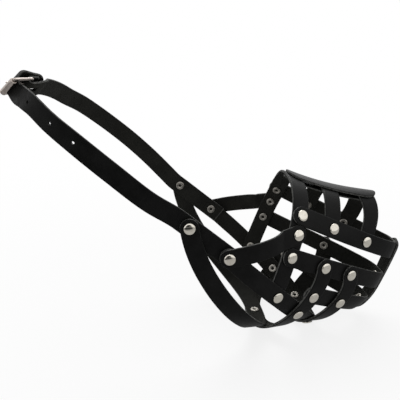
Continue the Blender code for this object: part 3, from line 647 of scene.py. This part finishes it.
# each strap's line, the join at its ends, its layer, and the joins whose caps press into it
basketStraps = {
    "arch_rear": ("archRear", "sling_rear", 0, ()),
    "arch_middle": ("archMiddle", "upper_middle", 0, ()),
    "arch_front": ("archFront", "upper_front", 0, ()),
    "upper_side_strap": ("upper", "upper_rear", 1, ("upper_rear", "upper_middle", "upper_front")),
    "lower_side_strap": ("lower", "lower_rear", 1, ("lower_rear",)),
    "bottom_side_strap": ("bottom", "bottom_rear", 1, ()),
    "chin_sling": ("sling", "neck_pivot", 1, ("sling_rear",)),
    "under_strap_rear": ("underRear", "lower_middle", 2, ("lower_middle", "bottom_rear", "sling_middle")),
    "under_strap_front": ("underFront", "lower_front", 2, ("lower_front", "bottom_front", "sling_front")),
}


def reach(ends):
    return ends[0] - leatherStock["endReach"], ends[1] + leatherStock["endReach"]


def marksOn(path, axis, keys):
    # stations of the named joins on a strap, both sides
    return [s for key in keys for s in bothSides(path, axis, joinAt[key][axis])]


for node, (line, endJoin, layer, pressing) in basketStraps.items():
    axis = xAxis if line in flatLines else zAxis
    ends = marksOn(paths[line], axis, (endJoin,))
    formStrap(node, "basket", paths[line], *reach(ends), layer, presses=marksOn(paths[line], axis, pressing))

cheekStrap = {
    "endHeight": 29.2,
    "hub": -30.0,
    "sweep": (160.0, 20.0),
    "layers": (2, 1),      # at the pivot and at the rear arch
    "endPower": 2.2,
}
cheekEndX = float(steepX(steepLines["archRear"], cheekStrap["endHeight"]))
cheekSlope = (cheekStrap["endHeight"] - pivotZ) / (cheekEndX - pivotX)
cheekLine = {
    "rise": math.degrees(math.atan(cheekSlope)),
    "at": pivotZ - pivotX * cheekSlope,
    "hub": cheekStrap["hub"],
}
cheekPath, cheekEnds = {}, {}
for hand, side in hands.items():
    path = flatPath(cheekLine, *[angle * side for angle in cheekStrap["sweep"]])
    ends = [station(path, xAxis, x, side) for x in (pivotX, cheekEndX)]
    formStrap("cheek_strap_" + hand, "basket", path, *reach(ends), *cheekStrap["layers"], presses=ends,
              power=cheekStrap["endPower"])
    cheekPath[hand], cheekEnds[hand] = path, ends

frontStrap = {
    "hub": (60.0, -20.0),
    "sweep": (60.0, -120.0),
    "layer": 2,
}
frontSides = ("upper", "lower", "bottom")
frontPath = centrePath(frontStrap["hub"], *frontStrap["sweep"])
frontMarks = [nearest(frontPath, farthest(paths[key], xAxis)) for key in frontSides]
formStrap("front_strap", "basket", frontPath, *reach((frontMarks[0], frontMarks[-1])), frontStrap["layer"],
          presses=frontMarks)

noseStrip = {
    "hub": (30.0, 0.0),
    "sweep": (150.0, 5.0),
    "width": 24.0,
    "thick": 1.6,
    "reach": (7.5, 10.5),  # past the rear arch and past the front one
}
nosePath = centrePath(noseStrip["hub"], *noseStrip["sweep"])
noseMarks = [nearest(nosePath, farthest(paths[key], zAxis)) for key in ("archRear", "archFront")]
noseEnds = (noseMarks[0] - noseStrip["reach"][0], noseMarks[1] + noseStrip["reach"][1])
underArches = -(noseStrip["thick"] + leatherStock["gap"]) / pitch
for node, layer in (("nose_strip_cover", 1), ("nose_strip_lining", underArches)):
    formStrap(node, "basket", nosePath, *noseEnds, layer, width=noseStrip["width"], thick=noseStrip["thick"])
print("basket straps made")

neckLoop = {
    "rise": 39.1,
    "width": 17.0,
    "end": 11.0,           # ahead of the pivot
    "straight": 54.0,      # near side, back from the pivot
    "farStraight": 50.5,
    "straightPoints": 6,
    # back from the pivot, bulge outwards, up from the neck plane
    "billetLie": [(80, 2.5, -2.2), (120, 5.5, -1.0), (156, 3.5, 0.0), (180, -1.0, 0.5), (200, -10.5, 1.5)],
    "buckleLie": [(204.3, -72, 8.3), (199.5, -51.5, 7.9), (193.5, -33.5, 6.8), (186.5, -19.5, 5.6),
                  (169, 8.0, 4.4), (140, 19.2, 4.0), (112, 17.8, 4.0), (82, 9.0, 3.0), (60, 1.6, 1.1)],
    "spanSteps": 40,
    "lineStep": 0.6,
    "step": 1.2,
    "aim": 0.4,            # how far ahead and behind the strap's direction is read
    "columns": 31,
    "holes": [156.4, 178.8, 201.2],
    "holeRadius": 1.3,
    "holeCells": 2,        # from a hole's middle to its edge
}
throat = {
    "station": 42.3,       # its rivets, back from the pivots
    "bend": -18.6,
    "sweep": (20.0, 340.0),
    "stillBelow": 12.0,    # above the form's bottom, where it starts to follow the neck
    "freeAbove": 6.0,      # below its rivets, from where it follows the neck alone
}
neckAngle = math.radians(neckLoop["rise"])
neckBack = np.array([-math.cos(neckAngle), 0.0, math.sin(neckAngle)])
neckUp = np.array([math.sin(neckAngle), 0.0, math.cos(neckAngle)])
toLeft = np.array([0.0, 1.0, 0.0])
pivot = np.array([pivotX, 0.0, pivotZ])
mouthHalf = snoutForm["halfWidth"] + snoutForm["mouthFlare"]
neckHalf = mouthHalf + leatherStock["thick"] / 2.0

# the throat strap's steep line passes its rivets and the lowest rivet
throatX = pivotX - throat["station"] * math.cos(neckAngle)
throatZ = pivotZ + throat["station"] * math.sin(neckAngle)
throatFall = (throatX - restX) / (throatZ + snoutForm["dropBelow"])
throatBow = throat["bend"] / snoutForm["dropBelow"] ** 2
throatSlope = throatFall + throatBow * (throatZ - snoutForm["dropBelow"])
throatLine = {
    "lean": math.degrees(math.atan(throatSlope)),
    "at": throatX - throatZ * throatSlope + throatBow * throatZ ** 2,
    "bend": throat["bend"],
    "hub": 0.0,
}
throatPath = steepPath(throatLine, *throat["sweep"])
throatEnds = bothSides(throatPath, zAxis, throatZ)
throatStrap = formStrap("throat_strap", None, throatPath, *reach(throatEnds), 1, presses=throatEnds)
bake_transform(throatStrap)
print("throat strap made")

buckle = {
    "rollerLie": (221.7, -25.0, -1.2),
    # from the roller to the bar, and along the bar: back, left and up in the neck plane
    "run": (-0.51, 0.78, 0.37),
    "across": (-0.14, -0.50, 0.85),
    "length": 18.0,
    "wire": 1.1,
    "wireSides": 22,
    "wireAngle": 60.0,
    "corner": 1.3,
    "cornerSteps": 10,
    "sidePlay": 0.4,
    "rollerRadius": 2.7,
    "rollerBore": 1.35,
    "rollerGap": 0.8,
    "rollerLip": 0.35,
    "rollerLipSteps": 5,
    "rollerRows": 9,
    "rollerSides": 72,
    "rollerAngle": 40.0,
    "seamDepth": 0.05,     # share of the radius
    "seamHalf": 0.09,      # radians
    "prong": 0.9,
    "prongPlay": 0.3,
    "prongKnee": 0.45,     # share of the buckle's length
    "prongPast": 0.5,
    # first, last and how many: angles round the eye, then shares of the slope and of the tongue
    "prongEye": (-70.0, -290.0, 28),
    "prongSlope": (0.1, 1.0, 10),
    "prongTongue": (0.06, 1.0, 18),
    "prongTaper": [0.97, 0.92, 0.84, 0.72, 0.55, 0.25],
    "foldSteps": 9,
    "foldBack": 8.5,
    "foldDrop": 0.6,       # the fold's free end lies this much closer to the strap
    # from the bar towards the roller, and out: the fold's lower leaf, and the billet's arch and tail
    "leaf": [(-5.0, -2.8), (-10.0, -2.4)],
    "arch": [(12.6, 2.6), (9.4, 5.6), (6.2, 7.8), (3.2, 8.5), (-0.6, 7.6), (-5.0, 6.1), (-9.5, 5.0),
             (-13.5, 3.9), (-17.5, 3.1)],
    # the straps turn to the neck plane between these distances from the bar
    "turnFirst": (6.0, 22.0),
    "billetTurnFirst": (20.0, 75.0),
    "turnLast": (50.0, 110.0),
    "turnShare": 0.6,      # of the turn that comes first
    "slotHalf": 2.5,
    "slotReach": 8.0,
    "holeHalf": 2.0,
    "holeAlong": (6.3, 17.3),
    "holeOut": (1.4, 7.7),
}


def neckVector(v):
    return neckBack * v[0] + toLeft * v[1] + neckUp * v[2]


def neckPoint(lie, side):
    return pivot + neckVector((lie[0], side * (neckHalf + lie[1]), lie[2]))


def smoothLine(points):
    # Hermite spans with tangents from the neighbours, read at even steps
    points = np.array(points, float)
    knots = lengths(points)
    tangents = np.gradient(points, knots, axis=0)
    t = np.linspace(0.0, 1.0, neckLoop["spanSteps"], endpoint=False)[None, :, None]
    span = np.diff(knots)[:, None, None]
    p, q, u, v = points[:-1, None], points[1:, None], tangents[:-1, None], tangents[1:, None]
    dense = ((2 * t ** 3 - 3 * t ** 2 + 1) * p + (t ** 3 - 2 * t ** 2 + t) * span * u
             + (3 * t ** 2 - 2 * t ** 3) * q + (t ** 3 - t ** 2) * span * v).reshape(-1, 3)
    dense = np.concatenate([dense, points[-1:]])
    total = lengths(dense)[-1]
    count = max(2, int(round(total / neckLoop["lineStep"])))
    return sample(dense, np.linspace(0.0, total, count + 1))


run = unit(neckVector(buckle["run"]))
over = neckVector(buckle["across"])
over = unit(over - run * np.dot(over, run))
proud = np.cross(run, over)
proud = proud if np.dot(proud, neckBack) > 0.0 else -proud
rollerAt = neckPoint(buckle["rollerLie"], hands["right"])
barAt = rollerAt + run * buckle["length"]
leafRise = buckle["wire"] + leatherStock["gap"] + leatherStock["thick"] / 2.0
pastRoller = buckle["rollerRadius"] + buckle["rollerGap"] + leatherStock["thick"] / 2.0


def inBuckle(along, out, across=0.0):
    # from the bar towards the roller, out of the buckle's plane, and along the bar
    return barAt - run * along + proud * out + over * across


def straightLie(side, stop):
    stops = np.linspace(-neckLoop["end"], stop, neckLoop["straightPoints"])
    return [pivot + neckBack * s + toLeft * side * neckHalf for s in stops]


def turnAcross(points, turnFirst):
    # the width turns from the buckle's across to the neck's up direction, in two eased shares
    gap = np.linalg.norm(points - barAt, axis=1)
    spans = (turnFirst, buckle["turnLast"])
    first, last = [ease((gap - start) / (stop - start)) for start, stop in spans]
    share = buckle["turnShare"] * first + (1.0 - buckle["turnShare"]) * last
    return unit(over * (1.0 - share[:, None]) + neckUp * share[:, None])


def neckStrap(node, line, turnFirst, roundStop, holes, cutOut):
    # a strap on a free line: s along it, y across it, holes cut from its cells
    half = neckLoop["width"] / 2.0
    total = lengths(line)[-1]
    s = stationsAlong(0.0, total, half, neckLoop["step"], False, roundStop)
    spread = halfWidths(s, 0.0, total, half, False, roundStop)
    y = spread[:, None] * edgeColumns(neckLoop["columns"])[None, :]
    along = np.repeat(s[:, None], y.shape[1], axis=1)
    cellS, cellY = (s[:-1] + s[1:]) / 2.0, (y[:-1, :-1] + y[1:, 1:]) / 2.0
    keep = ~cutOut(sample(line, cellS), cellS, cellY)
    middle, cells = y.shape[1] // 2, neckLoop["holeCells"]
    di, dj = np.meshgrid(*[np.arange(-cells, cells + 1)] * 2, indexing="ij")
    onEdge = np.maximum(np.abs(di), np.abs(dj)) == cells
    di, dj = di[onEdge], dj[onEdge]
    turn = np.arctan2(dj, di)
    for mark in holes:
        # the square of grid points round the hole is drawn onto its circle
        at = int(np.argmin(np.abs(s - mark)))
        along[at + di, middle + dj] = s[at] + neckLoop["holeRadius"] * np.cos(turn)
        y[at + di, middle + dj] = neckLoop["holeRadius"] * np.sin(turn)
        keep[at - cells:at + cells, middle - cells:middle + cells] = False
    flat = along.ravel()
    centre = sample(line, flat)
    forward = unit(sample(line, flat + neckLoop["aim"]) - sample(line, flat - neckLoop["aim"]))
    wide = turnAcross(centre, turnFirst)
    wide = unit(wide - forward * np.sum(wide * forward, axis=1, keepdims=True))
    outward = np.cross(wide, forward)
    spot = centre - wide * y.reshape(-1, 1)
    lift = halfThickness(y, spread[:, None], leatherStock["thick"]).reshape(-1, 1)
    grainSide, fleshSide = [(spot + outward * away).reshape(*y.shape, 3) for away in (lift, -lift)]
    return leatherSheet(node, "neck", grainSide, fleshSide, keep)


foldTurn = np.radians(np.linspace(0, 180, buckle["foldSteps"]))
fold = [inBuckle(-buckle["foldBack"], leafRise - buckle["foldDrop"]),
        inBuckle(-buckle["foldBack"] / 2.0, leafRise)]
fold += [inBuckle(leafRise * math.sin(a), leafRise * math.cos(a)) for a in foldTurn]
leaf = [inBuckle(*p) for p in buckle["leaf"]]
lie = [neckPoint(p, hands["left"]) for p in neckLoop["buckleLie"]]
farEnd = straightLie(hands["left"], neckLoop["farStraight"])[::-1]
buckleLine = smoothLine(fold + leaf + lie + farEnd)
slotFrom = buckle["foldBack"] - buckle["slotReach"]
slotTo = buckle["foldBack"] + math.pi * leafRise + buckle["slotReach"]


def prongSlot(p, s, y):
    return (np.abs(y) < buckle["slotHalf"]) & ((s > slotFrom) & (s < slotTo))[:, None]


neckStrap("neck_strap_buckle_half", buckleLine, buckle["turnFirst"], False, (), prongSlot)

inside = buckle["length"] - pastRoller
entry = [inBuckle(inside, -pastRoller), inBuckle(inside, 0.0)]
approach = straightLie(hands["right"], neckLoop["straight"])
approach += [neckPoint(p, hands["right"]) for p in neckLoop["billetLie"]]
approach.append(0.5 * (approach[-1] + entry[0]))
billetLine = smoothLine(approach + entry + [inBuckle(*p) for p in buckle["arch"]])
backFromPivot = (billetLine - pivot) @ neckBack
holeStations = [lengths(billetLine)[np.argmax(backFromPivot > h)] for h in neckLoop["holes"]]


def prongHole(p, s, y):
    along, out = (barAt - p) @ run, (p - barAt) @ proud
    inHole = (along > buckle["holeAlong"][0]) & (along < buckle["holeAlong"][1])
    inHole &= (out > buckle["holeOut"][0]) & (out < buckle["holeOut"][1])
    return (np.abs(y) < buckle["holeHalf"]) & inHole[:, None]


neckStrap("neck_strap_billet", billetLine, buckle["billetTurnFirst"], True, holeStations, prongHole)
print("neck loop made")


def sweptWire(name, body, node, line, normal, radius, closed):
    # a circle carried along a flat line, kept square to it; an open line's ends are closed flat
    sides = buckle["wireSides"]
    line = np.asarray(line, float)
    ahead = np.roll(line, -1, axis=0) - np.roll(line, 1, axis=0) if closed else np.gradient(line, axis=0)
    across = unit(np.cross(unit(ahead), normal))
    a = np.linspace(0.0, 2.0 * np.pi, sides, endpoint=False)
    radius = np.broadcast_to(radius, len(line))
    ring = np.cos(a)[None, :, None] * np.asarray(normal) + np.sin(a)[None, :, None] * across[:, None]
    grid = line[:, None] + radius[:, None, None] * ring
    index = np.arange(len(line) * sides).reshape(-1, sides)
    nextRing = np.roll(index, -1, axis=0) if closed else index[1:]
    thisRing = index if closed else index[:-1]
    turned = [np.roll(rings, -1, axis=1) for rings in (thisRing, nextRing)]
    faces = np.stack([thisRing, *turned, nextRing], axis=-1).reshape(-1, 4).tolist()
    if not closed:
        faces += [index[0][::-1].tolist(), index[-1].tolist()]
    return finishPiece(name, grid.reshape(-1, 3), faces, shadedBuckleNickel, body, node,
                       buckle["wireAngle"])


# the frame: a rectangle with round corners, from the bar to the roller's wire and back
corner = buckle["corner"]
frameHalf = neckLoop["width"] / 2.0 + buckle["sidePlay"] + corner
quarter = np.linspace(0.0, 90.0, buckle["cornerSteps"])
outline = []
for along, hand, turn in ((corner, -1, 180.0), (buckle["length"] - corner, -1, 270.0),
                          (buckle["length"] - corner, 1, 0.0), (corner, 1, 90.0)):
    across = hand * (frameHalf - corner)
    outline += [inBuckle(along + corner * math.cos(a), 0.0, across + corner * math.sin(a))
                for a in np.radians(quarter + turn)]
sweptWire("buckle_frame_wire", "neck", "buckle_frame", outline, proud, buckle["wire"], True)

# the prong: an eye round the bar, a slope up to the knee, and a straight tongue over the roller
eye = buckle["wire"] + buckle["prongPlay"] + buckle["prong"]
tongueTop = buckle["rollerRadius"] + buckle["prongPlay"] + buckle["prong"]
eyeTurn = np.radians(np.linspace(*buckle["prongEye"]))
prongLine = [inBuckle(eye * math.cos(a), eye * math.sin(a)) for a in eyeTurn]
knee = inBuckle(buckle["prongKnee"] * buckle["length"], tongueTop)
tip = inBuckle(buckle["length"] + buckle["prongPast"], tongueTop)
eyeEnd = prongLine[-1]
prongLine += [eyeEnd + (knee - eyeEnd) * t for t in np.linspace(*buckle["prongSlope"])]
prongLine += [knee + (tip - knee) * t for t in np.linspace(*buckle["prongTongue"])]
evenPart = np.ones(len(prongLine) - len(buckle["prongTaper"]))
prongRadius = buckle["prong"] * np.concatenate([evenPart, buckle["prongTaper"]])
sweptWire("buckle_prong_wire", "prong", "buckle_prong", prongLine, over, prongRadius, False)


def rollerTube():
    # a rolled tube: closed profile carried round, with the roll's seam as a shallow groove
    sides, lip, radius = buckle["rollerSides"], buckle["rollerLip"], buckle["rollerRadius"]
    length = 2.0 * (frameHalf - corner) - leatherStock["gap"]
    bow = np.radians(np.linspace(0.0, 90.0, buckle["rollerLipSteps"]))
    outerEnd = np.stack([radius - lip + lip * np.cos(bow), length / 2.0 - lip + lip * np.sin(bow)], axis=1)
    heights = np.linspace(-length / 2.0 + lip, length / 2.0 - lip, buckle["rollerRows"])[1:-1]
    body = np.stack([np.full(len(heights), radius), heights], axis=1)
    bore = np.array([(buckle["rollerBore"], length / 2.0), (buckle["rollerBore"], -length / 2.0)])
    profile = np.concatenate([body, outerEnd, bore, (outerEnd * [1.0, -1.0])[::-1]])
    first, second, up = basisOf(over)
    a = np.linspace(0.0, 2.0 * np.pi, sides, endpoint=False)
    fromSeam = np.minimum(a, 2.0 * np.pi - a)
    groove = 1.0 - buckle["seamDepth"] * np.exp(-(fromSeam / buckle["seamHalf"]) ** 2)
    ring = (np.cos(a)[:, None] * first + np.sin(a)[:, None] * second) * groove[:, None]
    grid = rollerAt + profile[:, 1][:, None, None] * up + profile[:, 0][:, None, None] * ring[None]
    index = np.arange(len(profile) * sides).reshape(-1, sides)
    nextRow = np.roll(index, -1, axis=0)
    quads = np.stack([index, np.roll(index, -1, axis=1), np.roll(nextRow, -1, axis=1), nextRow], axis=-1)
    return finishPiece("buckle_roller_tube", grid.reshape(-1, 3), quads.reshape(-1, 4).tolist(), shadedBuckleNickel,
                       "roller", "buckle_roller", buckle["rollerAngle"])


rollerTube()
print("buckle made")


def formRivet(name, path, s, first, count):
    p = sample(path, np.array([s]))
    return rivet(name, "basket", p[0], formNormal(p)[0], first, count)


# the last two numbers of each rivet are the lowest layer that it holds and how many it holds
for hand, side in hands.items():
    for key, (steep, flat) in joins.items():
        lowest = 0 if steep.startswith("arch") else 1
        mark = station(paths[flat], xAxis, joinAt[key][xAxis], side)
        formRivet("rivet_%s_%s" % (key, hand), paths[flat], mark, lowest, 2)
    formRivet("rivet_cheek_" + hand, cheekPath[hand], cheekEnds[hand][1], 0, 2)
    seat = pivot + toLeft * side * mouthHalf
    rivet("rivet_neck_pivot_" + hand, "basket", seat, toLeft * side, 0, 3)
    rivet("rivet_throat_" + hand, "neck", seat + neckBack * throat["station"], toLeft * side, 0, 2)
rivet("rivet_throat_centre", "basket", (restX, 0.0, -snoutForm["dropBelow"]), (0.0, 0.0, -1.0), 1, 2)
for name, mark in zip(frontSides, frontMarks):
    formRivet("rivet_front_" + name, frontPath, mark, 1, 2)
print("rivets made")

studio = {
    "floorHalf": 6.0,
    "floorPaint": (0.82, 0.82, 0.82, 1.0),
    "shadowShare": 0.16,
    "shadowReach": 0.45,
    "ambient": 0.38,
    "key": {"from": (-0.45, -0.45, 0.9), "level": 2.1},
    "fill": {"from": (0.6, -0.7, 0.6), "level": 0.45},
    "lampAngle": 50.0,
    "floorInMetal": 0.45,
    # the unlit side of the room, seen only in the metal: a patch of the floor and a part of the world
    "darkPatch": (-0.28, -1.25, 0.70, 1.02),   # centre, half-sizes
    "darkPatchEdge": (0.8, 0.98),
    "darkTowards": (-0.13, -0.99, 0.02),
    "darkEdge": (0.90, 0.94),
    "darkLevel": 0.02,
}


def vectorMaths(tree, operation, source):
    n = addNode(tree, "ShaderNodeVectorMath", operation=operation)
    tree.links.new(source, n.inputs[0])
    return n


def smoothRange(tree, source, span, levels):
    n = addNode(tree, "ShaderNodeMapRange", interpolation_type="SMOOTHSTEP")
    for key, value in zip(("From Min", "From Max", "To Min", "To Max"), (*span, *levels)):
        n.inputs[key].default_value = value
    tree.links.new(source, n.inputs["Value"])
    return n.outputs["Result"]


def whiteFloor():
    # white to the camera, dimmer in the metal and paint to other light; a bell curve fades the shadow out
    m, tree, _ = nodesOf("paleFloor")
    tree.nodes.clear()
    out = tree.nodes.new("ShaderNodeOutputMaterial")
    paint = addNode(tree, "ShaderNodeBsdfDiffuse", Color=studio["floorPaint"])
    glow = tree.nodes.new("ShaderNodeEmission")
    light = tree.nodes.new("ShaderNodeLightPath").outputs
    spot = addNode(tree, "ShaderNodeTexCoord").outputs["Object"]
    x, y, wide, deep = studio["darkPatch"]
    place = addNode(tree, "ShaderNodeMapping", Location=(-x / wide, -y / deep, 0.0),
                    Scale=(1.0 / wide, 1.0 / deep, 1.0))
    tree.links.new(spot, place.inputs["Vector"])
    away = vectorMaths(tree, "LENGTH", place.outputs["Vector"]).outputs["Value"]
    lit = smoothRange(tree, away, studio["darkPatchEdge"], (studio["darkLevel"], studio["floorInMetal"]))
    unlit = maths(tree, "MULTIPLY", light["Is Glossy Ray"], maths(tree, "SUBTRACT", 1.0, lit))
    tree.links.new(maths(tree, "SUBTRACT", 1.0, unlit), glow.inputs["Strength"])
    seen = maths(tree, "MAXIMUM", light["Is Camera Ray"], light["Is Glossy Ray"])
    seen = maths(tree, "MAXIMUM", seen, light["Is Transmission Ray"])
    far = vectorMaths(tree, "LENGTH", spot).outputs["Value"]
    share = maths(tree, "DIVIDE", far, studio["shadowReach"])
    fall = maths(tree, "MULTIPLY", maths(tree, "MULTIPLY", share, share), -1.0)
    eulerNumber = 2.718
    fade = maths(tree, "POWER", eulerNumber, fall)
    hide = maths(tree, "SUBTRACT", 1.0, maths(tree, "MULTIPLY", fade, studio["shadowShare"]))
    blend = tree.nodes.new("ShaderNodeMixShader")
    tree.links.new(maths(tree, "MULTIPLY", seen, hide), blend.inputs[0])
    tree.links.new(paint.outputs[0], blend.inputs[1])
    tree.links.new(glow.outputs[0], blend.inputs[2])
    tree.links.new(blend.outputs[0], out.inputs["Surface"])
    h = studio["floorHalf"]
    mesh = bpy.data.meshes.new("floor")
    mesh.from_pydata([(-h, -h, 0.0), (h, -h, 0.0), (h, h, 0.0), (-h, h, 0.0)], [], [(0, 1, 2, 3)])
    mesh.materials.append(m)
    floor = bpy.data.objects.new("floor", mesh)
    bpy.context.scene.collection.objects.link(floor)


def paleWorld():
    # white to the camera and in the metal, apart from one dark side of the room that only the metal shows
    world = bpy.data.worlds.new("paleStudio")
    world.use_nodes = True
    tree = world.node_tree
    back = tree.nodes["Background"]
    light = tree.nodes.new("ShaderNodeLightPath").outputs
    towards = vectorMaths(tree, "DOT_PRODUCT", addNode(tree, "ShaderNodeTexCoord").outputs["Object"])
    towards.inputs[1].default_value = unit(np.array(studio["darkTowards"]))
    room = smoothRange(tree, towards.outputs["Value"], studio["darkEdge"], (1.0, studio["darkLevel"]))
    shiny = maths(tree, "MULTIPLY", light["Is Glossy Ray"], room)
    seen = maths(tree, "MAXIMUM", light["Is Camera Ray"], light["Is Transmission Ray"])
    seen = maths(tree, "MAXIMUM", seen, shiny)
    plain = maths(tree, "SUBTRACT", 1.0, light["Is Glossy Ray"])
    level = maths(tree, "MAXIMUM", seen, maths(tree, "MULTIPLY", plain, studio["ambient"]))
    tree.links.new(level, back.inputs["Strength"])
    back.inputs["Color"].default_value = (1.0, 1.0, 1.0, 1.0)
    bpy.context.scene.world = world


def wideSun(name, values):
    lamp = bpy.data.lights.new(name, "SUN")
    lamp.energy = values["level"]
    lamp.angle = math.radians(studio["lampAngle"])
    sun = bpy.data.objects.new(name, lamp)
    bpy.context.scene.collection.objects.link(sun)
    x, y, z = basisOf(values["from"])
    sun.matrix_world = [[x[k], y[k], z[k], 0.0] for k in range(3)] + [[0.0, 0.0, 0.0, 1.0]]


whiteFloor()
paleWorld()
wideSun("keyLight", studio["key"])
wideSun("fillLight", studio["fill"])

photoView = {
    "at": (-0.09979, -0.51021, 0.2685),
    "azimuth": -5.06,
    "elevation": 15.92,
    "lens": 51.3,
    "sensor": 36.0,
}
lens = bpy.data.cameras.new("photoCamera")
lens.lens = photoView["lens"]
lens.sensor_width = photoView["sensor"]
camera = bpy.data.objects.new("photoCamera", lens)
bpy.context.scene.collection.objects.link(camera)
camera.location = photoView["at"]
camera.rotation_euler = (math.radians(90.0 - photoView["elevation"]), 0.0, math.radians(photoView["azimuth"]))
bpy.context.scene.camera = camera
bpy.context.scene.view_settings.view_transform = "Standard"
print("studio and camera set")
